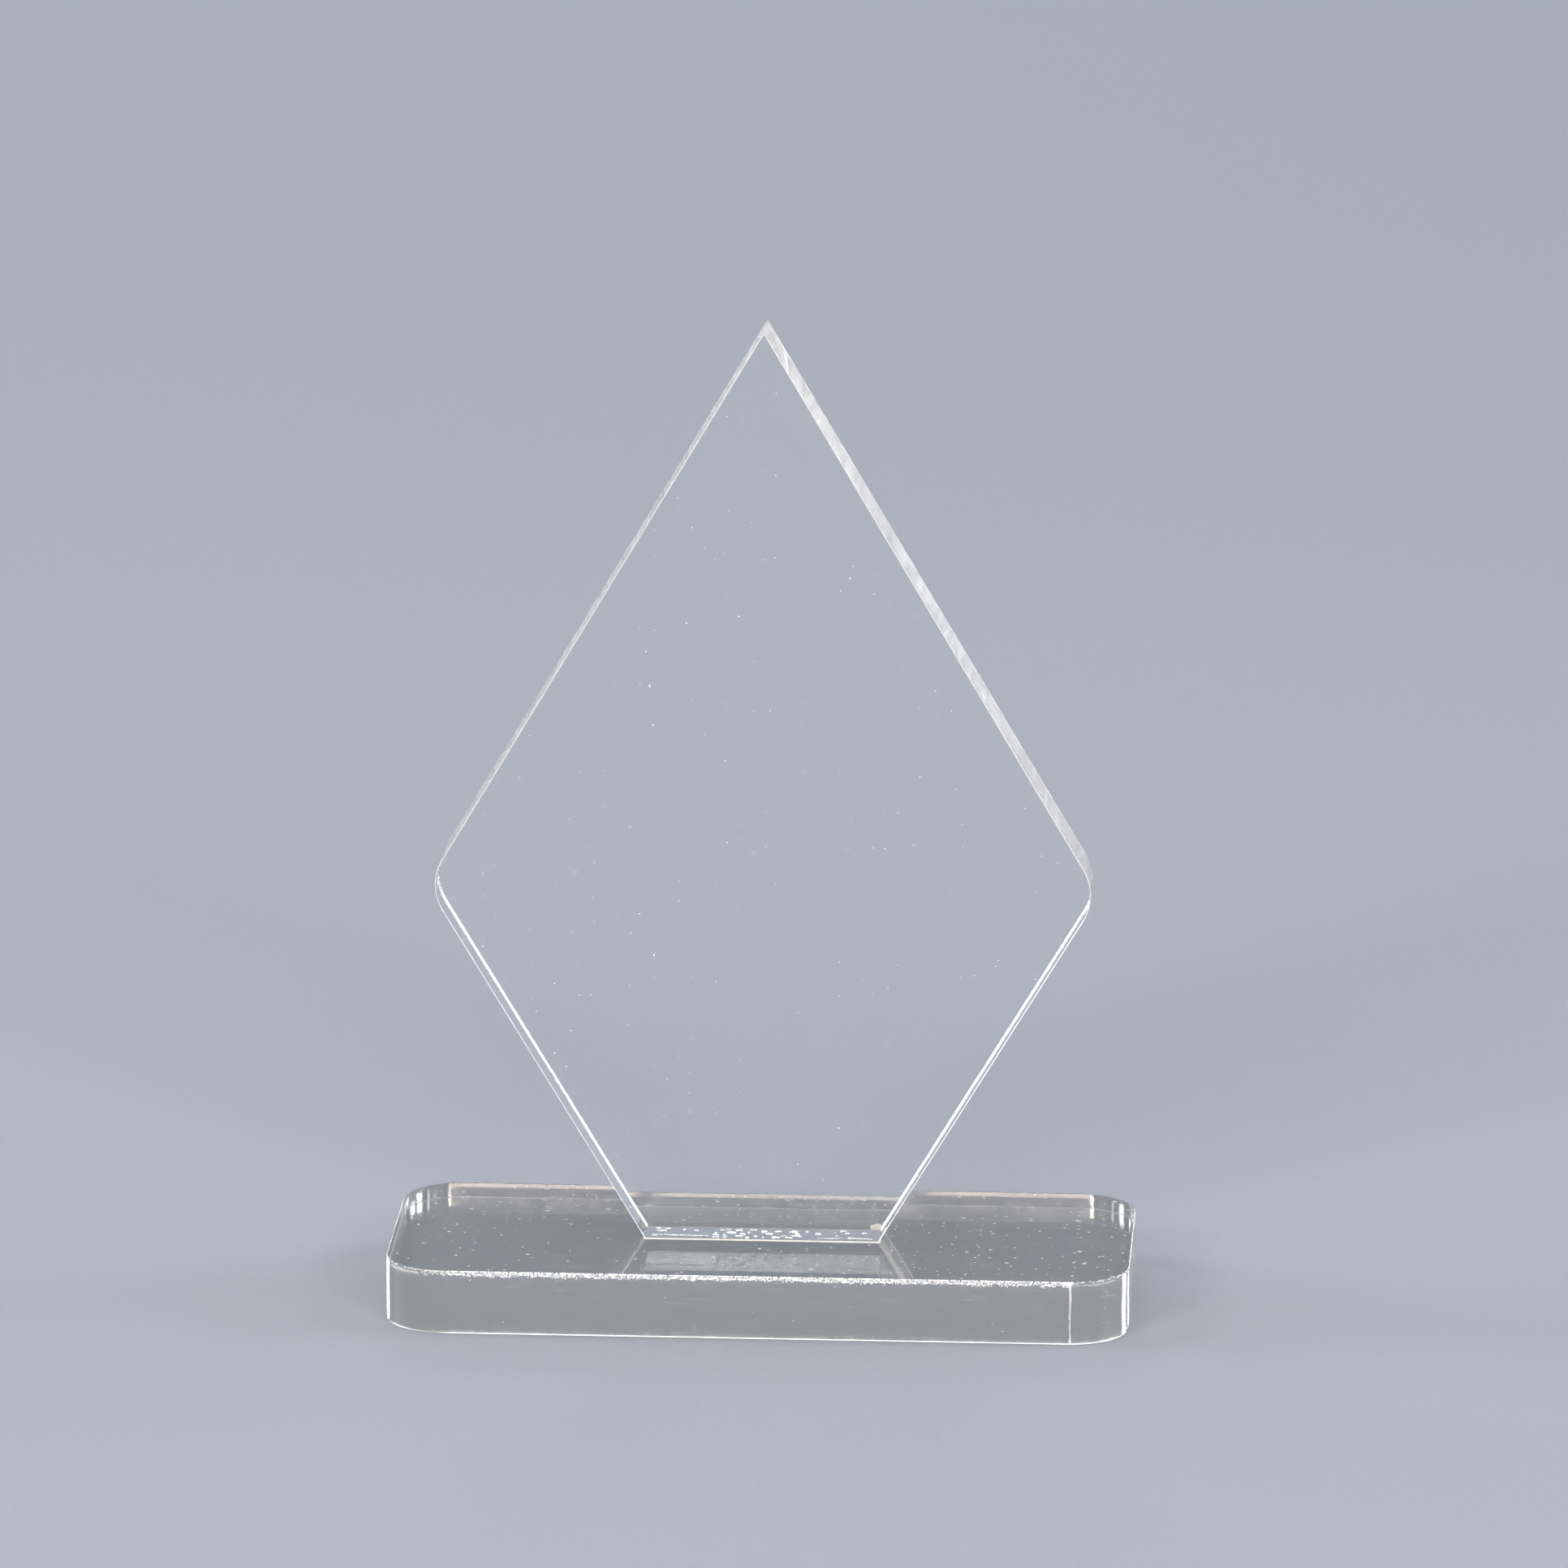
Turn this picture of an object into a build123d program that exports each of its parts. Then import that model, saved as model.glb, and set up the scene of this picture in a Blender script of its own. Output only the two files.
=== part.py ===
"""Clear acrylic award: a kite-shaped plate bonded upright on a rectangular base.

Millimetres. +Z is up, +X is to the viewer's right and the front looks along -Y.
The origin is the middle of the base's underside, where the award stands.
"""
import os
from math import atan2, degrees

from build123d import *

# Both acrylic pieces are cut from the same cast sheet.
sheet_thickness = 10.0

# Base block, lying flat.
base_width = 115.0
base_depth = 50.0
base_corner_radius = 9.5

# Plate, standing on edge: a pointed top, two rounded side corners, a flat foot.
plate_height = 144.0
foot_width = 36.5
side_corner_height = 56.0
side_corner_reach = 52.0
side_corner_radius = 8.0

# Bond line between the plate's foot and the base's top face.
bond_thickness = 0.15
bond_squeeze_out = 0.25

# Every long edge is lightly broken, except the plate's foot, which stays square for the bond.
arris_break = 0.15

# Heights of the stack, from the surface the award stands on.
base_top = sheet_thickness
plate_bottom = base_top + bond_thickness
plate_top = plate_bottom + plate_height

# The bond's edge slopes from its squeezed-out skirt up to the plate's foot.
bond_taper = degrees(atan2(bond_squeeze_out, bond_thickness))


def export_node(solid, node_name):
    """Label one finished piece and write its STEP file."""
    solid.label = node_name
    export_step(solid, f"parts/{node_name}.step")


os.makedirs("parts", exist_ok=True)


# Base block: a rounded rectangle of sheet with square, laser-cut sides.
with BuildPart() as base_block:
    with BuildSketch(Plane.XY):
        RectangleRounded(base_width, base_depth, base_corner_radius)
    extrude(amount=sheet_thickness)
    flat_faces = base_block.faces().filter_by(Axis.Z)
    chamfer(flat_faces.edges(), length=arris_break)


# Plate: drawn in its own upright plane, half of the thickness each side of it.
with BuildPart() as diamond_plate:
    with BuildSketch(Plane.XZ) as plate_outline:
        with BuildLine():
            Polyline(
                (-foot_width / 2, plate_bottom),
                (foot_width / 2, plate_bottom),
                (side_corner_reach, plate_bottom + side_corner_height),
                (0, plate_top),
                (-side_corner_reach, plate_bottom + side_corner_height),
                close=True,
            )
        make_face()
        side_corners = plate_outline.vertices().sort_by(Axis.X)
        fillet([side_corners[0], side_corners[-1]], radius=side_corner_radius)
    extrude(amount=sheet_thickness / 2, both=True)
    face_outlines = diamond_plate.faces().filter_by(Axis.Y).edges()
    foot_edges = face_outlines.group_by(Axis.Z)[0]
    chamfer([edge for edge in face_outlines if edge not in foot_edges], length=arris_break)


# Adhesive film: covers the plate's foot, with a sloped skirt of squeezed-out adhesive.
with BuildPart() as adhesive_film:
    with BuildSketch(Plane.XY.offset(base_top)):
        Rectangle(foot_width + 2 * bond_squeeze_out, sheet_thickness + 2 * bond_squeeze_out)
    extrude(amount=bond_thickness, taper=bond_taper)


export_node(base_block.part, "base_block")
export_node(diamond_plate.part, "diamond_plate")
export_node(adhesive_film.part, "adhesive_film")
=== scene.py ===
"""The looks of a clear acrylic award: a kite-shaped plate glued upright on a flat base.

Everything is in metres, in the CAD model's own frame: +Z up, the front faces -Y, and the origin
is the middle of the base's underside. Four pieces are built here: the plate, the base, the cured
adhesive between them and one drop of it beside the plate. Each replaces the CAD node of its part.

The plate, the film and the base are one optical body where the adhesive wets them, so light passes
between them without being bent. The bubbles and the dry channels in the film keep their air gap.
"""

import math
import random

import bmesh
import bpy
from mathutils import Matrix, Vector, geometry, noise


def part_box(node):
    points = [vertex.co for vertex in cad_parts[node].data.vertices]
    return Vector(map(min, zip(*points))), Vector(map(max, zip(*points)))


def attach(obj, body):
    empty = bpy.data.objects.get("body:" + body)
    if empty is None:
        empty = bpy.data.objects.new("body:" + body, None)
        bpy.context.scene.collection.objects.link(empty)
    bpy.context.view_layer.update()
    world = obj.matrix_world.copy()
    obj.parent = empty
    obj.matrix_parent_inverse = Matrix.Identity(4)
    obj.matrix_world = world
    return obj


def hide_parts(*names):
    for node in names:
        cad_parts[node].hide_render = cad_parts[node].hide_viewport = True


MM = 0.001

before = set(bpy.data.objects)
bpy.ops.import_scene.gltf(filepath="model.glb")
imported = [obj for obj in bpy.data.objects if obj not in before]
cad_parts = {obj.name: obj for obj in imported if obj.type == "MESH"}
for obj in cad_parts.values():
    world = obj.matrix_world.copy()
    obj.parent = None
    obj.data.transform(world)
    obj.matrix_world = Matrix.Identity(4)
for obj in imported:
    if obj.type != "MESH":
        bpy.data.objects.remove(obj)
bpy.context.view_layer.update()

# ---------------------------------------------------------------- sizes from the CAD model

BASE_LOW, BASE_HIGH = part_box("base_block")
PLATE_LOW, PLATE_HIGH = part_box("diamond_plate")
FILM_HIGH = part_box("adhesive_film")[1]

BASE_TOP = BASE_HIGH.z
PLATE_FOOT = PLATE_LOW.z
PLATE_TOP = PLATE_HIGH.z
HALF_THICKNESS = PLATE_HIGH.y
SKIRT_REACH = FILM_HIGH.y - HALF_THICKNESS      # how far the film stands out round the foot
HALF_FOOT = FILM_HIGH.x - SKIRT_REACH

BASE_CORNER_RADIUS = 9.5 * MM
SIDE_CORNER_RADIUS = 8.0 * MM
SIDE_CORNER_HEIGHT = 56.0 * MM
SIDE_CORNER_REACH = 52.0 * MM
ARRIS = 0.15 * MM            # the fine chamfer where a cut side meets a face
BOTTOM_ARRIS_HEIGHT = 0.22 * MM
BOTTOM_ARRIS_INSET = 0.13 * MM
TAPER_REACH = 3.3 * MM       # how far down the cut along the back of the base leans in
TAPER = math.tan(math.radians(1.6))

# ---------------------------------------------------------------- surface detail

COLUMN_STEP = 0.22 * MM      # spacing of the mesh columns round a cut edge
RIM_DEPTH = 1.00 * MM        # the rough, melted band beside one arris of the laser cut
RIM_END = 2.0 * MM           # the melted band never reaches deeper than this
RIM_RELIEF = 0.11 * MM       # about how far the band is eaten back
BACK_RIM_SHARE = 0.7         # the band's share of its full depth along the back of the base
SIDE_RIM_SHARE = 0.36        # and along its sides and corners
UPPER_RIM_SHARE = 0.2        # the share of its relief on the upper edges of the plate
LOWER_RIM_SHARE = 0.5        # and on the lower edges
FROST_LEVEL = 0.03           # grains of the band above this noise level came out white
TIP_CLEAR = 0.6 * MM         # no column is nearer than this to the plate's point
TIP_FADE = 3.0 * MM          # the melted band fades out over this distance from the point
MATCHED_GAP = 0.003 * MM     # keeps faces that are in optical contact from coinciding
FLOOR_GAP = 0.12 * MM        # air under the base, so that its underside still reflects

# Where the laser cut of the base starts and stops: a fine upright groove in the front face.
SEAM = Vector((48.6 * MM, BASE_LOW.y))
SEAM_HALF_WIDTH = 0.14 * MM
SEAM_TOP_HALF_WIDTH = 0.20 * MM
SEAM_TOP_REACH = 5.6 * MM
SEAM_DEPTH = 0.10 * MM
SEAM_NICK_HALF_WIDTH = 0.45 * MM
SEAM_WHITE_SHARE = 0.25      # the groove is frosted from this share of its depth on

# A slanting scar across the right-hand upper edge of the plate, by distances from its point.
SCAR_START, SCAR_END = 3.5 * MM, 8.5 * MM       # it lies well between these
SCAR_FRONT = 7.3 * MM
SCAR_BACK = 4.6 * MM
SCAR_HALF_WIDTH = 0.24 * MM
SCAR_DEPTH = 0.07 * MM
SCAR_WHITE_DEPTH = 0.015 * MM       # the scar is frosted where it is deeper than this

SHARP_ANGLE = math.radians(24)      # edges that turn more than this stay sharp
BUBBLE_TRIES = 400                  # for each cluster, before it is left with fewer bubbles


def smooth_noise(x, y, z):
    """Smooth noise about zero at a place given in feature sizes."""
    return noise.noise(Vector((x, y, z)))


# ---------------------------------------------------------------- outlines


def mitre(normal_a, normal_b):
    """The direction that moves both edges of a corner outward by one unit."""
    return (normal_a + normal_b) / (1.0 + normal_a.dot(normal_b))


def walk_outline(corners, radii, step, inset=0.0):
    """Samples a convex, anticlockwise outline as (point, outward direction) pairs.

    Each corner gives one sample if it is sharp, or an arc of them. The straight runs between
    corners are divided evenly. An inset outline has smaller arcs about the same centres.
    """
    runs = [(b - a).normalized() for a, b in zip(corners, corners[1:] + corners[:1])]
    normals = [Vector((run.y, -run.x)) for run in runs]
    corner_samples = []
    for i, (corner, radius) in enumerate(zip(corners, radii)):
        arriving, leaving = normals[i - 1], normals[i]
        outward = mitre(arriving, leaving)
        radius = max(radius - inset, 0.0)
        centre = corner - outward * (inset + radius)
        if radius == 0.0:
            corner_samples.append([(centre, outward)])
            continue
        start = math.atan2(arriving.y, arriving.x)
        turn = -arriving.angle_signed(leaving)
        count = max(4, math.ceil(abs(turn) * radius / step))
        arc = []
        for k in range(count + 1):
            angle = start + turn * k / count
            direction = Vector((math.cos(angle), math.sin(angle)))
            arc.append((centre + direction * radius, direction))
        corner_samples.append(arc)
    samples = []
    for i, arc in enumerate(corner_samples):
        samples.extend(arc)
        start, end = arc[-1][0], corner_samples[(i + 1) % len(corners)][0][0]
        count = max(1, math.ceil((end - start).length / step))
        samples.extend((start.lerp(end, k / count), normals[i]) for k in range(1, count))
    return samples


def refine_where(samples, chosen, parts):
    """Adds samples between neighbours that are both at chosen points."""
    refined = []
    for (point, outward), (after, outward_after) in zip(samples, samples[1:] + samples[:1]):
        refined.append((point, outward))
        if chosen(point) and chosen(after):
            for k in range(1, parts):
                share = k / parts
                refined.append((point.lerp(after, share), outward.lerp(outward_after, share)))
    return refined


def arc_lengths(samples):
    """The distance walked from the first sample to each of them."""
    lengths = [0.0]
    for (a, _), (b, _) in zip(samples, samples[1:]):
        lengths.append(lengths[-1] + (b - a).length)
    return lengths


# ---------------------------------------------------------------- flat faces


def fill_flat(loops, extra_points, accept):
    """Triangulates nested loops and gives each triangle the slot that accept() names.

    loops[0] is the outer boundary. accept() gets the numbers of the loops that hold a triangle
    and returns a material slot, or None where there is to be no face.
    """
    points, faces = [], []
    for loop in loops:
        faces.append(list(range(len(points), len(points) + len(loop))))
        points.extend(loop)
    points.extend(extra_points)
    scaled = [Vector((p.x / MM, p.y / MM)) for p in points]
    result = geometry.delaunay_2d_cdt(scaled, [], faces, 0, 1e-6)
    flat_points, triangles, sources, holders = result[0], result[2], result[3], result[5]
    places = []
    for point, source in zip(flat_points, sources):
        places.append(points[source[0]] if source else Vector((point.x * MM, point.y * MM)))
    slotted = []
    for triangle, holder in zip(triangles, holders):
        slot = accept(set(holder)) if 0 in holder else None
        if slot is not None:
            slotted.append((triangle, slot))
    return places, slotted


def graded_points(corners, radii, insets):
    """Points on ever wider spaced, ever deeper insets of an outline, to grade its triangles."""
    points = []
    for inset in insets:
        points.extend(p for p, _ in walk_outline(corners, radii, inset * 1.1, inset))
    return points


CAP_INSETS = [0.45 * MM, 1.1 * MM, 2.4 * MM, 5.0 * MM, 9.5 * MM]


class MeshMaker:
    """Collects vertices and faces with material slots, and welds them into one closed mesh."""

    def __init__(self):
        self.bm = bmesh.new()

    def add_flat(self, flat, place, upward):
        """Adds a triangulated flat face; upward keeps the turn that its triangles came with."""
        places, slotted = flat
        verts = [self.bm.verts.new(place(p)) for p in places]
        for triangle, slot in slotted:
            order = triangle if upward else list(reversed(triangle))
            self.bm.faces.new([verts[i] for i in order]).material_index = slot

    def add_grid(self, rows, slots, closed):
        """Joins neighbouring rows of points by quads; slots(row, column) names their material."""
        grid = [[self.bm.verts.new(p) for p in row] for row in rows]
        columns = len(grid[0])
        for r, (lower, upper) in enumerate(zip(grid, grid[1:])):
            for c in range(columns if closed else columns - 1):
                d = (c + 1) % columns
                face = self.bm.faces.new((lower[c], lower[d], upper[d], upper[c]))
                face.material_index = slots(r, c)

    def finish(self, name, materials):
        """Welds the seams, makes the object and shades it smooth except at its real edges."""
        bmesh.ops.remove_doubles(self.bm, verts=self.bm.verts, dist=0.0002 * MM)
        loose = [v for v in self.bm.verts if not v.link_faces]
        bmesh.ops.delete(self.bm, geom=loose, context="VERTS")
        bmesh.ops.recalc_face_normals(self.bm, faces=self.bm.faces)
        mesh = bpy.data.meshes.new(name)
        self.bm.to_mesh(mesh)
        self.bm.free()
        for material in materials:
            mesh.materials.append(material)
        mesh.shade_smooth()
        mesh.set_sharp_from_angle(angle=SHARP_ANGLE)
        piece = bpy.data.objects.new(name, mesh)
        bpy.context.scene.collection.objects.link(piece)
        return piece


# ---------------------------------------------------------------- the dry spots in the bond


def blob_loop(centre, radius, stretch, seed):
    """A rounded, uneven loop, like a bubble pressed flat in the film."""
    count = max(10, math.ceil(2 * math.pi * radius / (0.09 * MM)))
    loop = []
    for k in range(count):
        angle = 2 * math.pi * k / count
        ray = Vector((math.cos(angle), math.sin(angle)))
        wobble = 1.0 + 0.42 * smooth_noise(ray.x * 1.3, ray.y * 1.3, seed)
        loop.append(centre + Vector((ray.x * stretch, ray.y)) * radius * wobble)
    return loop


def channel_loop(start_x, end_x, middle_y, half_width, seed):
    """A long, wandering dry channel, where the adhesive didn't run."""
    step = 0.25 * MM
    count = math.ceil((end_x - start_x) / step)
    near, far = [], []
    for k in range(count + 1):
        share = k / count
        x = start_x + (end_x - start_x) * share
        ends = math.sqrt(max(0.02, 1.0 - (2.0 * share - 1.0) ** 10))
        y = middle_y + 0.60 * MM * smooth_noise(x / (3.1 * MM), seed, 0.0)
        y += 0.22 * MM * smooth_noise(x / (0.7 * MM), seed, 5.0)
        width = half_width * ends * (1.0 + 0.75 * smooth_noise(x / (1.1 * MM), 9.0, seed))
        near.append(Vector((x, y - width)))
        far.append(Vector((x, y + width)))
    return near + far[::-1]


def dry_spots():
    """The channels and bubbles of the bond, as loops that don't touch each other.

    A channel has its ends, its middle line, its half width and its seed. A cluster of bubbles has
    their count, the ranges of their centres and the range of their radii.
    """
    chance = random.Random(11)
    loops = [
        channel_loop(-17.2 * MM, -8.2 * MM, -2.3 * MM, 0.28 * MM, 1.5),
        channel_loop(8.6 * MM, 12.6 * MM, -2.7 * MM, 0.20 * MM, 4.5),
        channel_loop(13.2 * MM, 17.3 * MM, -2.8 * MM, 0.34 * MM, 7.5),
    ]
    taken = []
    clusters = [
        (15, (-7.4 * MM, -1.0 * MM), (-3.4 * MM, 3.4 * MM), (0.30 * MM, 1.00 * MM)),
        (11, (-0.4 * MM, 6.8 * MM), (-3.4 * MM, 3.4 * MM), (0.25 * MM, 0.90 * MM)),
        (5, (-16.5 * MM, -8.5 * MM), (1.4 * MM, 3.6 * MM), (0.25 * MM, 0.60 * MM)),
        (6, (7.9 * MM, 17.0 * MM), (-0.6 * MM, 3.6 * MM), (0.20 * MM, 0.60 * MM)),
    ]
    for count, span_x, span_y, sizes in clusters:
        placed = 0
        for _ in range(BUBBLE_TRIES):
            if placed == count:
                break
            radius = chance.uniform(*sizes)
            centre = Vector((chance.uniform(*span_x), chance.uniform(*span_y)))
            stretch = chance.uniform(0.45, 1.3)
            reach = radius * max(stretch, 1.0) * 1.3
            if all((centre - c).length > reach + r for c, r in taken):
                taken.append((centre, reach))
                loops.append(blob_loop(centre, radius, stretch, 3.7 * len(taken)))
                placed += 1
    return loops


# ---------------------------------------------------------------- the cut edges


def rim_limit(length):
    """How deep the melted band reaches at a place along the cut, with its uneven teeth."""
    slow = smooth_noise(length / (2.6 * MM), 3.0, 0.0)
    teeth = smooth_noise(length / (0.30 * MM), 8.0, 0.0)
    return RIM_DEPTH * (0.58 + 0.30 * slow + 0.95 * abs(teeth))


def rim_relief(length, depth):
    """How far the melted band is eaten back, at a depth below the arris."""
    limit = rim_limit(length)
    if depth > limit:
        return 0.0
    pits = smooth_noise(length / (0.17 * MM), depth / (0.17 * MM), 1.0)
    grain = smooth_noise(length / (0.34 * MM), depth / (0.30 * MM), 6.0)
    return RIM_RELIEF * (0.25 + abs(pits) + 0.8 * abs(grain)) * (1.0 - 0.5 * depth / limit)


def is_frosted(length, depth):
    """True in the grains of the melted band that came out white."""
    coarse = smooth_noise(length / (0.38 * MM), depth / (0.34 * MM), 12.0)
    fine = smooth_noise(length / (0.15 * MM), depth / (0.16 * MM), 15.0)
    return coarse + 0.7 * fine > FROST_LEVEL


def mostly_rough(rough, row, column, after):
    """True if the melted band holds at least three corners of a face."""
    touched = rough[row][column] + rough[row][after]
    touched += rough[row + 1][column] + rough[row + 1][after]
    return touched >= 3


def striation(length, level):
    """The slight waviness that the beam leaves along the cut, nearly straight through the sheet."""
    fine = smooth_noise(length / (0.7 * MM), level / (9.0 * MM), 2.0)
    broad = smooth_noise(length / (6.0 * MM), level / (14.0 * MM), 4.0)
    return 0.0035 * MM * (fine + 1.0) + 0.010 * MM * (broad + 1.0)


# ---------------------------------------------------------------- the base

# The last slot is the underside on the base and the upper cut edges on the plate.
FACE_SLOT, EDGE_SLOT, RIM_SLOT, BOND_SLOT, ARRIS_SLOT, UPPER_EDGE_SLOT = range(6)
UNDERSIDE_SLOT = UPPER_EDGE_SLOT

# Depths below the arris of the mesh rows that carry the melted band.
RIM_LEVELS = [1.34 * MM, 1.18 * MM, 1.03 * MM, 0.89 * MM, 0.76 * MM, 0.63 * MM, 0.51 * MM,
              0.39 * MM, 0.27 * MM, ARRIS]


def in_front_band(point):
    """True along the front of the base, from its left-hand corner up to the seam."""
    return point.y < BASE_LOW.y + 2.0 * MM and BASE_LOW.x + 6.0 * MM < point.x < SEAM.x


def base_rim_share(point):
    """The melted band is deep along the front, up to the seam, and thinner elsewhere."""
    if point.y > BASE_HIGH.y - 2.0 * MM:
        return BACK_RIM_SHARE
    return 1.0 if in_front_band(point) else SIDE_RIM_SHARE


def turns_corner(outward):
    """True where a side of the base faces aslant, which it does only round its corners."""
    return abs(outward.x * outward.y) > 0.02


def corner_ripple(length, depth):
    """The waviness that the beam leaves where it slows down to turn a corner."""
    wave = smooth_noise(length / (1.5 * MM), depth / (5.0 * MM), 9.0)
    return 0.014 * MM * (wave + 1.0)


def back_taper(point, depth):
    """How far the upper part of the cut leans in along the back."""
    if point.y < BASE_HIGH.y - BASE_CORNER_RADIUS:
        return 0.0
    return TAPER * max(0.0, TAPER_REACH - depth)


def seam_share(point, below_top):
    """How far inside the seam a place on the front is: 1 on its middle line, 0 outside it.

    The seam is widest in a nick at its top, wide down to SEAM_TOP_REACH, and thin below.
    """
    nick = math.exp(-((below_top / (0.55 * MM)) ** 2)) + 0.5 * math.exp(
        -(((BASE_TOP - below_top) / (0.5 * MM)) ** 2))
    half_width = SEAM_TOP_HALF_WIDTH if below_top < SEAM_TOP_REACH else SEAM_HALF_WIDTH
    half_width += SEAM_NICK_HALF_WIDTH * nick
    half_width *= 1.0 + 0.5 * smooth_noise(below_top / (0.9 * MM), 6.0, 3.0)
    wander = 0.08 * MM * smooth_noise(below_top / (1.6 * MM), 2.0, 7.0)
    off = abs(point.x - SEAM.x - wander) if point.y < 0.0 else 1.0
    return max(0.0, 1.0 - off / half_width)


def build_base(materials, bond_outline, dry_loops):
    """The base: a rounded rectangle of sheet with cut sides and a bonded patch on its top."""
    half_x, half_y = BASE_HIGH.x, BASE_HIGH.y
    corners = [Vector((x * half_x, y * half_y)) for x, y in ((-1, -1), (1, -1), (1, 1), (-1, 1))]
    radii = [BASE_CORNER_RADIUS] * 4
    samples = walk_outline(corners, radii, COLUMN_STEP)
    samples = refine_where(samples, in_front_band, 2)
    samples = refine_where(samples, lambda p: (p - SEAM).length < 0.9 * MM, 4)
    lengths = arc_lengths(samples)
    # The mesh rows from the bottom arris up: the plain cut, the lean along the back, the band.
    depths = [BASE_TOP - BOTTOM_ARRIS_HEIGHT]
    depths += [k * MM for k in (9.2, 8.4, 7.6, 6.8, 6.0, 5.6, 5.0, 4.3)]
    depths += [TAPER_REACH, 2.2 * MM] + RIM_LEVELS
    first_rim_row = len(depths) - len(RIM_LEVELS)
    rows, rough = [], []
    for depth in [BASE_TOP] + depths + [0.0]:
        set_back = {0.0: ARRIS, BASE_TOP: BOTTOM_ARRIS_INSET}.get(depth, 0.0)
        row, row_rough = [], []
        for (point, outward), length in zip(samples, lengths):
            share = base_rim_share(point)
            band_depth = (ARRIS if depth == 0.0 else depth) / share
            relief = rim_relief(length, band_depth) * share if depth < RIM_END else 0.0
            row_rough.append(relief > 0.0)
            eaten = relief + striation(length, depth) + seam_share(point, depth) * SEAM_DEPTH
            eaten += back_taper(point, depth)
            if turns_corner(outward):
                eaten += corner_ripple(length, depth)
            place = point - outward * (eaten + set_back)
            row.append(Vector((place.x, place.y, BASE_TOP - depth)))
        rows.append(row)
        rough.append(row_rough)
    top_arris_row = len(rows) - 2

    def side_slot(row, column):
        if row == 0:
            return ARRIS_SLOT
        below_top = BASE_TOP - 0.5 * (rows[row][column].z + rows[row + 1][column].z)
        if seam_share(samples[column][0], below_top) > SEAM_WHITE_SHARE:
            return ARRIS_SLOT
        frosted = is_frosted(lengths[column], below_top)
        if row == top_arris_row:
            broken = smooth_noise(lengths[column] / (0.35 * MM), 20.0, 0.0) < -0.10
            whole = in_front_band(samples[column][0]) and not broken
            return ARRIS_SLOT if frosted or whole else RIM_SLOT
        after = (column + 1) % len(samples)
        if row >= first_rim_row and mostly_rough(rough, row, column, after):
            return ARRIS_SLOT if frosted else RIM_SLOT
        return EDGE_SLOT

    inner = graded_points(corners, radii, CAP_INSETS)
    top_loop = [Vector((p.x, p.y)) for p in rows[-1]]
    bottom_loop = [Vector((p.x, p.y)) for p in rows[0]]

    def top_slot(holders):
        wet = 1 in holders and len(holders) == 2
        return BOND_SLOT if wet else FACE_SLOT

    maker = MeshMaker()
    maker.add_grid(rows, side_slot, closed=True)
    top = fill_flat([top_loop, bond_outline] + dry_loops, inner, top_slot)
    maker.add_flat(top, lambda p: Vector((p.x, p.y, BASE_TOP)), True)
    bottom = fill_flat([bottom_loop], inner, lambda holders: UNDERSIDE_SLOT)
    maker.add_flat(bottom, lambda p: Vector((p.x, p.y, 0.0)), False)
    return maker.finish("acrylic_base", materials)


# ---------------------------------------------------------------- the plate


def near_scar(point):
    """True on the part of the right-hand upper edge that the scar crosses."""
    from_tip = (point - Vector((0.0, PLATE_TOP))).length
    return point.x > 0.0 and SCAR_START < from_tip < SCAR_END


def scar(point, level):
    """The depth of a slanting scar that the beam left across the edge, just below the tip."""
    if not near_scar(point):
        return 0.0
    through = (level + HALF_THICKNESS) / (2.0 * HALF_THICKNESS)
    middle = SCAR_FRONT + (SCAR_BACK - SCAR_FRONT) * through
    off = abs((point - Vector((0.0, PLATE_TOP))).length - middle)
    return SCAR_DEPTH * max(0.0, 1.0 - off / SCAR_HALF_WIDTH)


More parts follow.
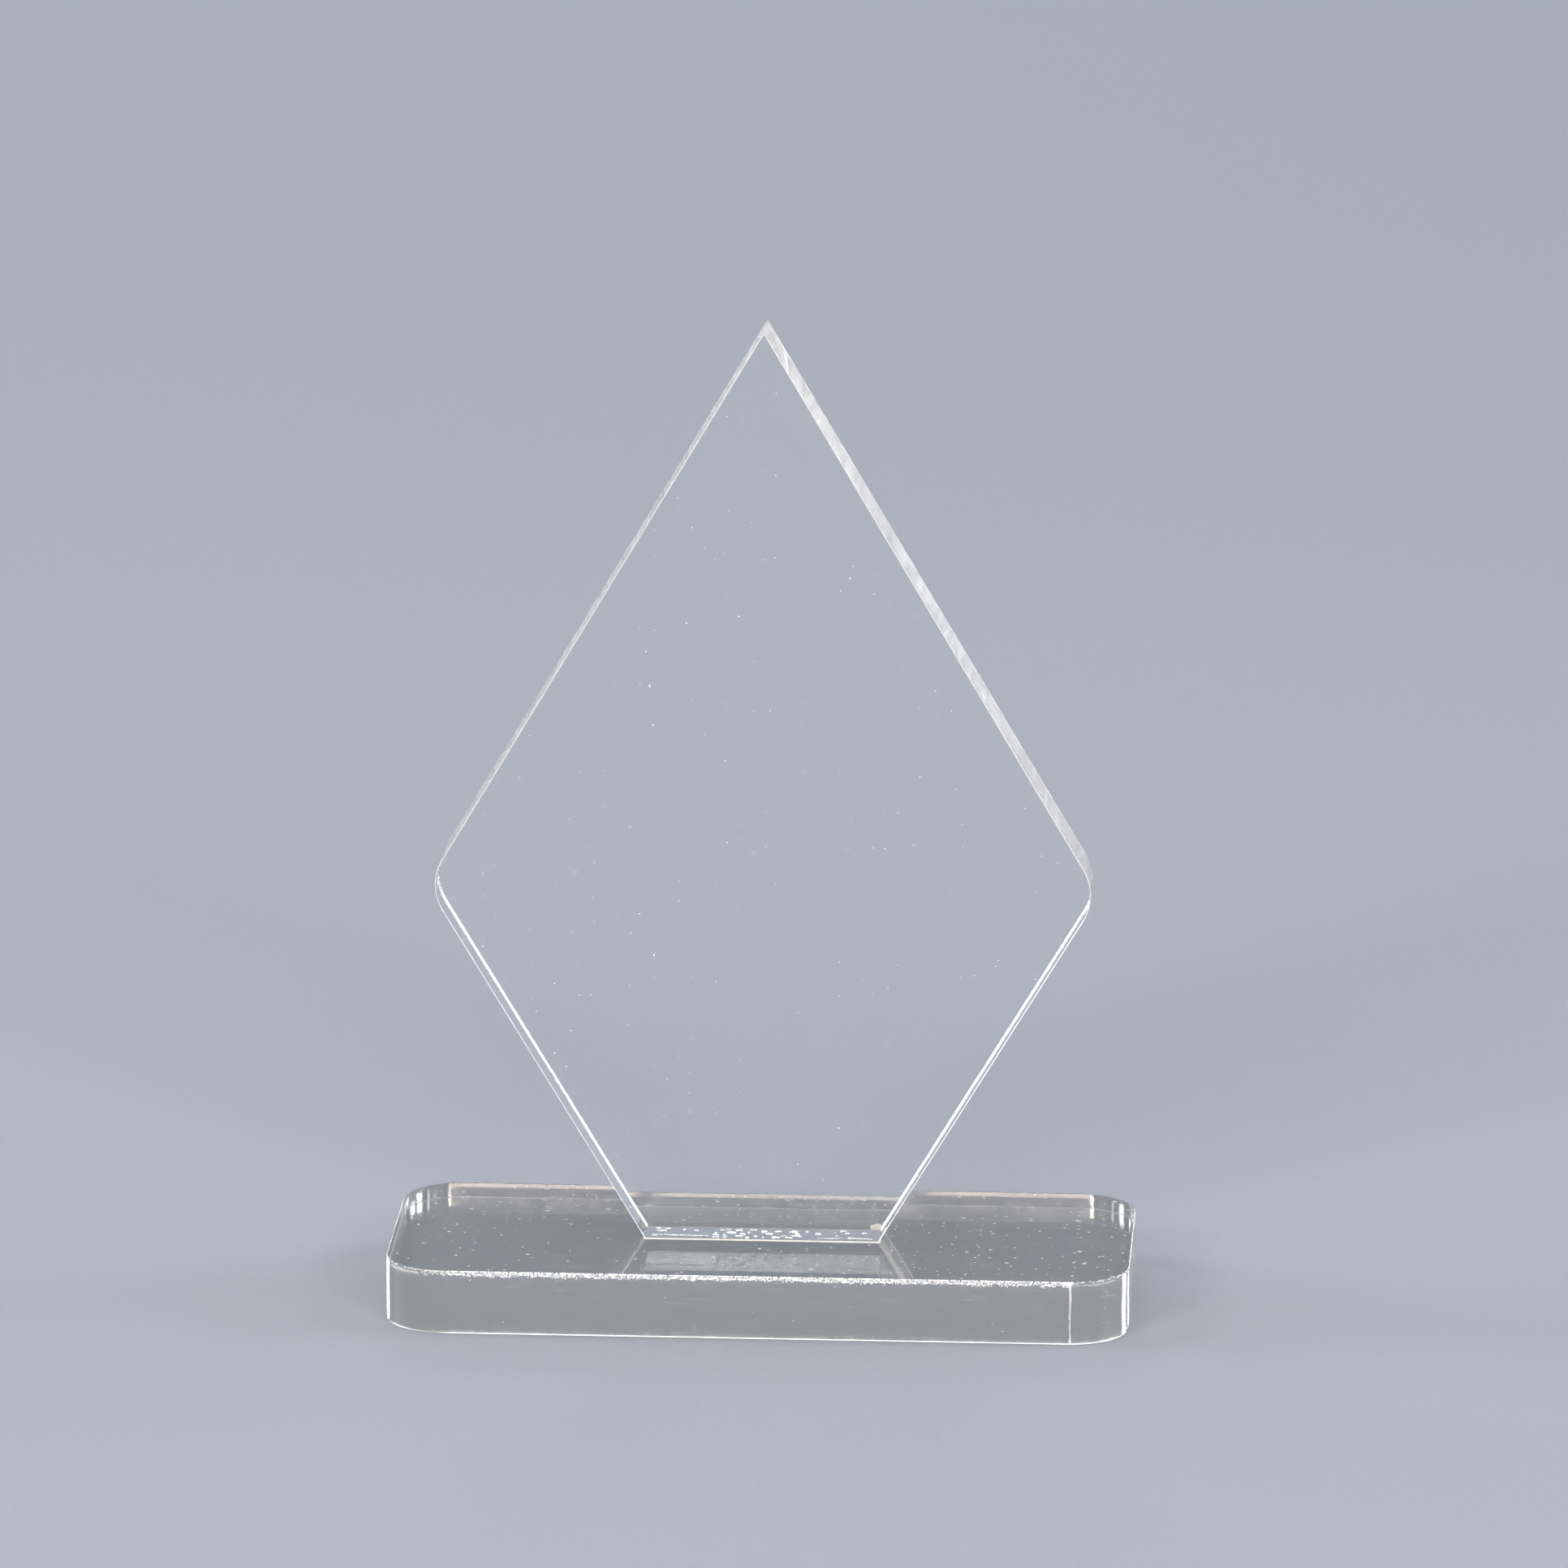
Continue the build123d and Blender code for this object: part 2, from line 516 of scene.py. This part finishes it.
def build_plate(materials, dry_loops):
    """The plate: cut sides round its pointed outline, two polished faces and a bonded foot."""
    corners = [
        Vector((HALF_FOOT, PLATE_FOOT)),
        Vector((SIDE_CORNER_REACH, PLATE_FOOT + SIDE_CORNER_HEIGHT)),
        Vector((0.0, PLATE_TOP)),
        Vector((-SIDE_CORNER_REACH, PLATE_FOOT + SIDE_CORNER_HEIGHT)),
        Vector((-HALF_FOOT, PLATE_FOOT)),
    ]
    radii = [0.0, SIDE_CORNER_RADIUS, 0.0, SIDE_CORNER_RADIUS, 0.0]
    side_corner_z = PLATE_FOOT + SIDE_CORNER_HEIGHT
    samples = walk_outline(corners, radii, COLUMN_STEP)
    samples = refine_where(samples, near_scar, 2)
    # The walk starts at the foot's right-hand end and comes back along the foot, which isn't cut.
    last = max(i for i, (p, _) in enumerate(samples) if (p - corners[4]).length < 0.01 * MM)
    foot_points = len(samples) - last - 1
    samples = [s for s in samples[: last + 1] if not 0.0 < (s[0] - corners[2]).length < TIP_CLEAR]
    last = len(samples) - 1
    lengths = arc_lengths(samples)
    total = lengths[-1]
    # At the foot the arris ends in the foot's plane, so its two corners only move sideways.
    for end, neighbour in ((0, 1), (last, last - 1)):
        slant = samples[neighbour][1]
        samples[end] = (samples[end][0], Vector((1.0 / slant.x, 0.0)))

    # The mesh rows from the front arris to the back one, which has the melted band.
    depths = [ARRIS] + [k * MM for k in (1.0, 2.0, 3.0, 4.0, 5.0, 6.0, 7.0, 7.9)]
    levels = [-HALF_THICKNESS + depth for depth in depths]
    levels += [HALF_THICKNESS - depth for depth in RIM_LEVELS]
    rows, rough = [], []
    for level in [-HALF_THICKNESS] + levels + [HALF_THICKNESS]:
        on_cap = abs(level) == HALF_THICKNESS
        below_arris = max(HALF_THICKNESS - level, ARRIS)
        row, row_rough = [], []
        for (point, outward), length in zip(samples, lengths):
            at_end = min(1.0, length / MM, (total - length) / MM)
            share = UPPER_RIM_SHARE if point.y > side_corner_z else LOWER_RIM_SHARE
            share *= min(1.0, (point - corners[2]).length / TIP_FADE)
            relief = share * rim_relief(length, below_arris) if below_arris < RIM_END else 0.0
            row_rough.append(relief > 0.0)
            eaten = (relief + striation(length, level) + scar(point, level)) * at_end
            place = point - outward * (eaten + (ARRIS if on_cap else 0.0))
            row.append(Vector((place.x, level, place.y)))
        rows.append(row)
        rough.append(row_rough)
    first_rim_row = len(rows) - 1 - len(RIM_LEVELS)

    def side_slot(row, column):
        level = 0.5 * (rows[row][column].y + rows[row + 1][column].y)
        if row >= first_rim_row and mostly_rough(rough, row, column, column + 1):
            below_arris = HALF_THICKNESS - level
            upper = samples[column][0].y > side_corner_z
            return ARRIS_SLOT if upper and is_frosted(lengths[column], below_arris) else RIM_SLOT
        if row == 0 or scar(samples[column][0], level) > SCAR_WHITE_DEPTH:
            return ARRIS_SLOT
        return UPPER_EDGE_SLOT if samples[column][0].y > side_corner_z else EDGE_SLOT

    def foot_line(row):
        left, right = row[-1], row[0]
        return [left.lerp(right, k / (foot_points + 1)) for k in range(1, foot_points + 1)]

    inner = graded_points(corners, radii, CAP_INSETS)
    maker = MeshMaker()
    maker.add_grid(rows, side_slot, closed=False)
    for row, level in ((rows[0], -HALF_THICKNESS), (rows[-1], HALF_THICKNESS)):
        loop = [Vector((p.x, p.z)) for p in row + foot_line(row)]
        face = fill_flat([loop], inner, lambda holders: FACE_SLOT)
        maker.add_flat(face, lambda p, y=level: Vector((p.x, y, p.y)), level < 0.0)

    right_end = [row[0] for row in rows]
    left_end = [row[-1] for row in rows]
    rim = foot_line(rows[0]) + right_end + foot_line(rows[-1])[::-1] + left_end[::-1]
    loops = [[Vector((p.x, p.y)) for p in rim]] + dry_loops

    def foot_slot(holders):
        return BOND_SLOT if len(holders) == 1 else UPPER_EDGE_SLOT

    foot = fill_flat(loops, [], foot_slot)
    maker.add_flat(foot, lambda p: Vector((p.x, p.y, PLATE_FOOT)), False)
    return maker.finish("acrylic_plate", materials)


# ---------------------------------------------------------------- the adhesive

BUBBLE_SLOT, WET_SLOT, SKIRT_SLOT = range(3)


def film_samples():
    """The outline of the plate's foot, where the adhesive's skirt begins."""
    x, y = HALF_FOOT, HALF_THICKNESS
    corners = [Vector((-x, -y)), Vector((x, -y)), Vector((x, y)), Vector((-x, y))]
    return walk_outline(corners, [0.15 * MM] * 4, 0.25 * MM)


def squeeze_out(length):
    """How far the adhesive stands out round the foot: uneven, with a few fuller beads."""
    slow = smooth_noise(length / (5.0 * MM), 1.0, 3.0)
    quick = smooth_noise(length / (0.9 * MM), 4.0, 3.0)
    return 0.20 * MM + 0.09 * MM * slow + 0.07 * MM * quick


def build_film(materials, samples, skirt, dry_loops):
    """The cured film: pierced by its bubbles, with a sloping skirt round the plate's foot."""
    top_z, bottom_z = PLATE_FOOT - MATCHED_GAP, BASE_TOP + MATCHED_GAP
    profile = [(1.0, 0.0), (0.62, 0.22), (0.30, 0.55), (0.10, 1.0)]     # shares out and up
    rows = []
    for outward_share, height_share in profile:
        z = bottom_z + (top_z - bottom_z) * height_share
        row = []
        for (point, outward), foot_point in zip(samples, skirt):
            place = point.lerp(foot_point, outward_share)
            row.append(Vector((place.x, place.y, z)))
        rows.append(row)

    def wet_slot(holders):
        return WET_SLOT if len(holders) == 1 else None

    maker = MeshMaker()
    maker.add_grid(rows, lambda row, column: SKIRT_SLOT, closed=True)
    bottom_loop = [Vector((p.x, p.y)) for p in rows[0]]
    top_loop = [Vector((p.x, p.y)) for p in rows[-1]]
    bottom = fill_flat([bottom_loop] + dry_loops, [], wet_slot)
    maker.add_flat(bottom, lambda p: Vector((p.x, p.y, bottom_z)), False)
    top = fill_flat([top_loop] + dry_loops, [], wet_slot)
    maker.add_flat(top, lambda p: Vector((p.x, p.y, top_z)), True)
    for loop in dry_loops:
        walls = [[Vector((p.x, p.y, z)) for p in loop] for z in (bottom_z, top_z)]
        maker.add_grid(walls, lambda row, column: BUBBLE_SLOT, closed=True)
    return maker.finish("adhesive_film_cured", materials)


def build_bead(name, centre, size, seed, material):
    """A drop of squeezed-out adhesive that has set on the base beside the plate."""
    bm = bmesh.new()
    bmesh.ops.create_icosphere(bm, subdivisions=4, radius=1.0)
    for v in bm.verts:
        lump = 1.0 + 0.22 * noise.noise(v.co * 1.3 + Vector((seed, 0.0, 0.0)))
        x, y, z = v.co * lump
        v.co = Vector((x * size.x, y * size.y, max(z, -0.12) * size.z)) + centre
    lowest = min(v.co.z for v in bm.verts)
    for v in bm.verts:
        v.co.z += BASE_TOP + MATCHED_GAP - lowest
    mesh = bpy.data.meshes.new(name)
    bm.to_mesh(mesh)
    bm.free()
    mesh.materials.append(material)
    mesh.shade_smooth()
    bead = bpy.data.objects.new(name, mesh)
    bpy.context.scene.collection.objects.link(bead)
    return bead


# ---------------------------------------------------------------- materials

# Frosted grains and cloudy adhesive scatter light too, so they only partly transmit it.
ARRIS_TRANSMISSION = 0.5
CLOUDY_TRANSMISSION = 0.25
ACRYLIC_IOR = 1.49
ACRYLIC_TINT = (0.985, 0.996, 0.994, 1.0)


class Shading:
    """A material with one Principled shader, and short ways to feed it."""

    def __init__(self, name):
        self.material = bpy.data.materials.new(name)
        self.material.use_nodes = True
        self.nodes = self.material.node_tree.nodes
        self.links = self.material.node_tree.links
        self.nodes.clear()
        self.output = self.nodes.new("ShaderNodeOutputMaterial")
        self.shader = self.nodes.new("ShaderNodeBsdfPrincipled")
        self.links.new(self.shader.outputs["BSDF"], self.output.inputs["Surface"])
        self.place = self.nodes.new("ShaderNodeTexCoord").outputs["Object"]

    def scaled_place(self, sizes):
        """Object coordinates divided by a feature size along each axis."""
        mapping = self.nodes.new("ShaderNodeMapping")
        mapping.inputs["Scale"].default_value = [1.0 / size for size in sizes]
        self.links.new(self.place, mapping.inputs["Vector"])
        return mapping.outputs["Vector"]

    def noise(self, sizes, detail=2.0):
        """Fractal noise with its own feature size along each axis."""
        node = self.nodes.new("ShaderNodeTexNoise")
        node.inputs["Scale"].default_value = 1.0
        node.inputs["Detail"].default_value = detail
        self.links.new(self.scaled_place(sizes), node.inputs["Vector"])
        return node.outputs["Fac"]

    def math(self, operation, a, b=0.0):
        """One Math node; a and b are sockets or numbers."""
        node = self.nodes.new("ShaderNodeMath")
        node.operation = operation
        for value, socket in zip((a, b), node.inputs):
            if isinstance(value, (int, float)):
                socket.default_value = value
            else:
                self.links.new(value, socket)
        return node.outputs[0]

    def remap(self, value, low, high, to_low, to_high):
        """A clamped linear change of range."""
        node = self.nodes.new("ShaderNodeMapRange")
        self.links.new(value, node.inputs["Value"])
        for name, number in zip(("From Min", "From Max", "To Min", "To Max"),
                                (low, high, to_low, to_high)):
            node.inputs[name].default_value = number
        return node.outputs["Result"]

    def mix_colour(self, share, colour_a, colour_b):
        """A blend of two plain colours."""
        node = self.nodes.new("ShaderNodeMix")
        node.data_type = "RGBA"
        self.links.new(share, node.inputs["Factor"])
        node.inputs["A"].default_value = colour_a
        node.inputs["B"].default_value = colour_b
        return node.outputs["Result"]

    def bump(self, height, depth):
        """Feeds the shader's normal from a height in units of depth (metres)."""
        node = self.nodes.new("ShaderNodeBump")
        node.inputs["Strength"].default_value = 1.0
        node.inputs["Distance"].default_value = depth
        self.links.new(height, node.inputs["Height"])
        self.links.new(node.outputs["Normal"], self.shader.inputs["Normal"])

    def feed(self, socket_name, value):
        """Sets or links one of the shader's own inputs."""
        socket = self.shader.inputs[socket_name]
        if isinstance(value, (int, float, tuple)):
            socket.default_value = value
        else:
            self.links.new(value, socket)


def acrylic(name):
    """Clear acrylic, before its surface is finished."""
    shading = Shading(name)
    shading.feed("Base Color", ACRYLIC_TINT)
    shading.feed("Transmission Weight", 1.0)
    shading.feed("IOR", ACRYLIC_IOR)
    return shading


def dust_specks(shading, plane, cell, radius, share):
    """A mask of sparse small specks: one at most in each cell, in about a share of the cells.

    The cells lie in the plane of two axes. The third shifts them, so that the two faces of a
    sheet don't carry the same specks. The specks differ in size, and gather in some places.
    """
    flat = shading.nodes.new("ShaderNodeCombineXYZ")
    for axis, shift, socket in zip(plane, (7.3, 3.1), flat.inputs):
        weights = [1.0 if letter == axis else 0.0 if letter in plane else shift for letter in "XYZ"]
        dot = shading.nodes.new("ShaderNodeVectorMath")
        dot.operation = "DOT_PRODUCT"
        shading.links.new(shading.place, dot.inputs[0])
        dot.inputs[1].default_value = [weight / cell for weight in weights]
        shading.links.new(dot.outputs["Value"], socket)
    voronoi = shading.nodes.new("ShaderNodeTexVoronoi")
    voronoi.voronoi_dimensions = "2D"
    voronoi.inputs["Scale"].default_value = 1.0
    shading.links.new(flat.outputs["Vector"], voronoi.inputs["Vector"])
    split = shading.nodes.new("ShaderNodeSeparateColor")
    shading.links.new(voronoi.outputs["Color"], split.inputs["Color"])
    reach = shading.remap(split.outputs["Green"], 0.0, 1.0,
                          0.5 * radius / cell, 1.3 * radius / cell)
    off = shading.math("DIVIDE", voronoi.outputs["Distance"], reach)
    near = shading.remap(off, 0.6, 1.0, 1.0, 0.0)
    crowding = shading.remap(shading.noise((20 * MM, 20 * MM, 20 * MM)), 0.38, 0.62,
                             0.1 * share, 1.9 * share)
    present = shading.math("LESS_THAN", split.outputs["Red"], crowding)
    return shading.math("MULTIPLY", near, present)


def polished_face(name, plane, dustiness, speck):
    """The sheet's own cast surface: glossy, with faint handling haze and a little dust."""
    shading = acrylic(name)
    haze = shading.remap(shading.noise((22 * MM, 22 * MM, 22 * MM), 4.0), 0.52, 0.75, 0.0, 0.035)
    fine = dust_specks(shading, plane, 1.9 * MM, speck, 0.07 * dustiness)
    coarse = dust_specks(shading, plane, 6.0 * MM, 1.7 * speck, 0.14 * dustiness)
    dust = shading.math("MAXIMUM", fine, coarse)
    shading.feed("Roughness", shading.math("MAXIMUM", haze, shading.math("MULTIPLY", dust, 0.85)))
    shading.bump(dust, 0.05 * MM)
    return shading.material


def cut_edge(name, through, haze, line_depth, drag_height=0.0):
    """A laser-cut side, with fine lines that run through the sheet along the through axis.

    Drag lines, left where the beam leaves the sheet, rise from z = 0 up to about drag_height.
    """
    shading = acrylic(name)
    fine_sizes = [6.0 * MM if axis == through else 0.16 * MM for axis in "XYZ"]
    broad_sizes = [12.0 * MM if axis == through else 0.9 * MM for axis in "XYZ"]
    fine = shading.noise(fine_sizes, 3.0)
    broad = shading.noise(broad_sizes, 2.0)
    lines = shading.math("ADD", fine, shading.math("MULTIPLY", broad, 1.5))
    plane = ("Z", "X") if through == "Z" else ("Y", "Z")
    specks = dust_specks(shading, plane, 1.1 * MM, 0.10 * MM, 0.012)
    rough = shading.remap(broad, 0.35, 0.70, haze, 1.5 * haze)
    rough = shading.math("MAXIMUM", rough, shading.math("MULTIPLY", specks, 0.7))
    if drag_height:
        axes = shading.nodes.new("ShaderNodeSeparateXYZ")
        shading.links.new(shading.place, axes.inputs["Vector"])
        streaks = shading.noise((0.45 * MM, 0.45 * MM, 14.0 * MM), 2.0)
        reach = shading.remap(streaks, 0.50, 0.72, 0.0, drag_height)
        below = shading.math("SUBTRACT", reach, axes.outputs["Z"])
        drag = shading.remap(below, 0.0, 0.8 * drag_height, 0.0, 0.22)
        rough = shading.math("MAXIMUM", rough, drag)
    shading.feed("Roughness", rough)
    shading.bump(lines, line_depth)
    return shading.material


def melted_rim():
    """The frosty band where the beam left the edge pitted."""
    shading = acrylic("melted_rim")
    pits = shading.noise((0.20 * MM, 0.20 * MM, 0.20 * MM), 3.0)
    shading.feed("Roughness", shading.remap(pits, 0.35, 0.65, 0.05, 0.24))
    shading.bump(pits, 0.05 * MM)
    return shading.material


def worn_arris():
    """A fine frosted line where a cut side meets a face."""
    shading = acrylic("worn_arris")
    shading.feed("Transmission Weight", ARRIS_TRANSMISSION)
    grain = shading.noise((0.5 * MM, 0.5 * MM, 0.5 * MM), 3.0)
    shading.feed("Roughness", shading.remap(grain, 0.35, 0.65, 0.35, 0.60))
    shading.feed("Base Color", (1.0, 1.0, 1.0, 1.0))
    shading.bump(grain, 0.03 * MM)
    return shading.material


def optical_contact():
    """A wetted face between two bodies of the same index, which bends and reflects nothing."""
    shading = Shading("optical_contact")
    shading.feed("Base Color", (1.0, 1.0, 1.0, 1.0))
    shading.feed("Transmission Weight", 1.0)
    shading.feed("Roughness", 0.0)
    shading.feed("IOR", 1.0)
    return shading.material


def scuffed_underside():
    """The base's underside, scuffed a little by the shelf."""
    shading = acrylic("scuffed_underside")
    scuffs = shading.noise((6 * MM, 2 * MM, 6 * MM), 4.0)
    shading.feed("Roughness", shading.remap(scuffs, 0.35, 0.70, 0.03, 0.10))
    return shading.material


def cloudy_adhesive():
    """Squeezed-out adhesive, whitened by fine air bubbles."""
    shading = acrylic("cloudy_adhesive")
    ripple = shading.noise((0.5 * MM, 0.5 * MM, 0.5 * MM), 2.0)
    shading.feed("Base Color", (1.0, 0.98, 0.95, 1.0))
    shading.feed("Transmission Weight", CLOUDY_TRANSMISSION)
    shading.feed("Roughness", shading.remap(ripple, 0.3, 0.7, 0.25, 0.50))
    shading.bump(ripple, 0.03 * MM)
    return shading.material


def cured_adhesive():
    """Set adhesive round its bubbles."""
    shading = acrylic("cured_adhesive_surface")
    ripple = shading.noise((0.5 * MM, 0.5 * MM, 0.5 * MM), 2.0)
    shading.feed("Roughness", shading.remap(ripple, 0.3, 0.7, 0.20, 0.45))
    shading.bump(ripple, 0.02 * MM)
    return shading.material


def matte_floor():
    """Plain pale card with a fine tooth."""
    shading = Shading("pale_card")
    tooth = shading.noise((0.9 * MM, 0.9 * MM, 0.9 * MM), 3.0)
    shading.feed("Base Color", shading.mix_colour(tooth, (0.31, 0.345, 0.41, 1.0),
                                                  (0.355, 0.39, 0.455, 1.0)))
    shading.feed("Roughness", 0.8)
    shading.bump(tooth, 0.02 * MM)
    return shading.material


# ---------------------------------------------------------------- the pieces

plate_face = polished_face("polished_face_of_plate", "XZ", 0.6, 0.11 * MM)
base_face = polished_face("polished_face_of_base", "XY", 2.6, 0.20 * MM)
rim = melted_rim()
contact = optical_contact()
adhesive = cured_adhesive()
cloudy = cloudy_adhesive()

dry_loops = dry_spots()
foot_samples = film_samples()
foot_lengths = arc_lengths(foot_samples)
skirt = [p + outward * squeeze_out(s) for (p, outward), s in zip(foot_samples, foot_lengths)]

arris = worn_arris()
base_edge = cut_edge("cut_edge_of_base", "Z", 0.08, 0.0030 * MM, drag_height=3.5 * MM)
plate_edge = cut_edge("lower_cut_edge_of_plate", "Y", 0.05, 0.004 * MM)
upper_edge = cut_edge("upper_cut_edge_of_plate", "Y", 0.18, 0.006 * MM)

base_looks = [base_face, base_edge, rim, contact, arris, scuffed_underside()]
plate_looks = [plate_face, plate_edge, rim, contact, arris, upper_edge]
base = build_base(base_looks, skirt, dry_loops)
plate = build_plate(plate_looks, dry_loops)
film = build_film([adhesive, contact, cloudy], foot_samples, skirt, dry_loops)
bead_centre = Vector((HALF_FOOT - 0.7 * MM, HALF_THICKNESS + 0.72 * MM, 0.0))
bead_size = Vector((1.1, 0.50, 0.85)) * MM
bead = build_bead("adhesive_bead", bead_centre, bead_size, 3.0, cloudy)

for piece, node, slot in (
    (base, "base_block", "base_acrylic"),
    (plate, "diamond_plate", "plate_acrylic"),
    (film, "adhesive_film", "cured_adhesive"),
    (bead, "adhesive_film", "cured_adhesive"),
):
    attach(piece, "root")
    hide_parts(node)

# ---------------------------------------------------------------- floor, lights and camera

FLOOR_HALF_SIZE = 6.0
AWARD_MIDDLE = Vector((0.0, 0.0, 0.05))
WARM = (1.0, 0.84, 0.71)
MILDLY_WARM = (1.0, 0.86, 0.74)


def build_floor():
    """A wide pale floor, just clear of the base's underside."""
    bm = bmesh.new()
    bmesh.ops.create_grid(bm, x_segments=24, y_segments=24, size=FLOOR_HALF_SIZE)
    mesh = bpy.data.meshes.new("floor")
    bm.to_mesh(mesh)
    bm.free()
    mesh.materials.append(matte_floor())
    floor = bpy.data.objects.new("floor", mesh)
    floor.location.z = -FLOOR_GAP
    bpy.context.scene.collection.objects.link(floor)
    return floor


def direction(azimuth, elevation):
    """The direction to a place seen from the award, in degrees: azimuth 0 is straight behind it."""
    a, e = math.radians(azimuth), math.radians(elevation)
    return Vector((math.sin(a) * math.cos(e), math.cos(a) * math.cos(e), math.sin(e)))


def softbox(name, azimuth, elevation, distance, size, radiance, colour=(1.0, 1.0, 1.0),
            shape="RECTANGLE"):
    """A soft light that looks at the middle of the award.

    Its size is its width and height, and the radiance is that of a rectangular light's surface.
    """
    light = bpy.data.lights.new(name, "AREA")
    light.shape = shape
    light.size, light.size_y = size
    light.energy = radiance * math.pi * size[0] * size[1]
    light.color = colour
    towards = direction(azimuth, elevation)
    lamp = bpy.data.objects.new(name, light)
    lamp.location = AWARD_MIDDLE + towards * distance
    lamp.rotation_euler = (-towards).to_track_quat("-Z", "Y").to_euler()
    bpy.context.scene.collection.objects.link(lamp)


def pale_world(strength):
    """A plain pale surrounding, a little brighter overhead."""
    world = bpy.data.worlds.new("studio")
    bpy.context.scene.world = world
    world.use_nodes = True
    nodes, links = world.node_tree.nodes, world.node_tree.links
    background = nodes["Background"]
    split = nodes.new("ShaderNodeSeparateXYZ")
    links.new(nodes.new("ShaderNodeTexCoord").outputs["Generated"], split.inputs[0])
    ramp = nodes.new("ShaderNodeValToRGB")
    links.new(split.outputs["Z"], ramp.inputs["Fac"])
    ramp.color_ramp.elements[0].color = (0.49, 0.50, 0.53, 1.0)
    ramp.color_ramp.elements[1].color = (0.80, 0.83, 0.88, 1.0)
    links.new(ramp.outputs["Color"], background.inputs["Color"])
    background.inputs["Strength"].default_value = strength


VIEW_AZIMUTH = math.radians(3.13)
VIEW_ELEVATION = math.radians(14.21)
VIEW_ROLL = math.radians(0.17)
VIEW_DISTANCE = 2.029
VIEW_AIM = Vector((0.0030, 0.0, 0.0819))
LENS_MM = 302.0


def build_camera():
    """A long lens in front of the award, a little above it and slightly to its right."""
    camera = bpy.data.cameras.new("camera")
    camera.lens = LENS_MM
    camera.sensor_width = 36.0
    camera.clip_start, camera.clip_end = 0.05, 20.0
    rig = bpy.data.objects.new("camera", camera)
    back = Vector((
        math.sin(VIEW_AZIMUTH) * math.cos(VIEW_ELEVATION),
        -math.cos(VIEW_AZIMUTH) * math.cos(VIEW_ELEVATION),
        math.sin(VIEW_ELEVATION),
    ))
    turn = (-back).to_track_quat("-Z", "Y").to_matrix().to_4x4()
    roll = Matrix.Rotation(VIEW_ROLL, 4, "Z")
    rig.matrix_world = Matrix.Translation(VIEW_AIM + back * VIEW_DISTANCE) @ turn @ roll
    bpy.context.scene.collection.objects.link(rig)
    bpy.context.scene.camera = rig


def allow_long_paths():
    """Light runs along inside the plate by many reflections before it leaves."""
    cycles = bpy.context.scene.cycles
    cycles.max_bounces = 32
    cycles.transmission_bounces = 32
    cycles.glossy_bounces = 32


build_floor()
softbox("overhead_soft", 180.0, 80.0, 1.7, (1.1, 1.1), 1.5)
softbox("front_key", 183.0, 28.0, 2.2, (2.2, 0.50), 8.0, WARM)
softbox("low_left_back", -27.0, 5.5, 3.0, (0.75, 0.50), 10.0)
softbox("low_right_back", 25.0, 5.5, 3.0, (0.75, 0.50), 8.0)
softbox("low_back", -6.0, 5.0, 3.0, (0.8, 0.35), 5.0)
softbox("high_back", -5.0, 26.0, 3.0, (0.6, 0.3), 8.0)
softbox("left_strip", -51.0, 14.5, 3.0, (0.36, 0.45), 9.0)
softbox("right_strip", 58.0, 14.5, 3.0, (0.80, 0.45), 9.0)
softbox("left_side", -88.0, 38.0, 3.2, (1.07, 1.28), 4.5, shape="ELLIPSE")
softbox("right_side", 88.0, 38.0, 3.2, (1.07, 1.28), 4.5, shape="ELLIPSE")
softbox("left_low_side", -80.0, 14.5, 3.2, (0.78, 0.52), 11.0)
softbox("right_low_side", 80.0, 14.5, 3.2, (0.78, 0.52), 11.0)
softbox("left_front_fill", -150.0, 20.0, 1.6, (0.18, 0.42), 20.0, MILDLY_WARM, "ELLIPSE")
softbox("right_front_fill", 150.0, 20.0, 1.6, (0.18, 0.42), 20.0, MILDLY_WARM, "ELLIPSE")
pale_world(0.47)
build_camera()
allow_long_paths()
bpy.context.scene.view_settings.view_transform = "Standard"

bpy.context.view_layer.update()
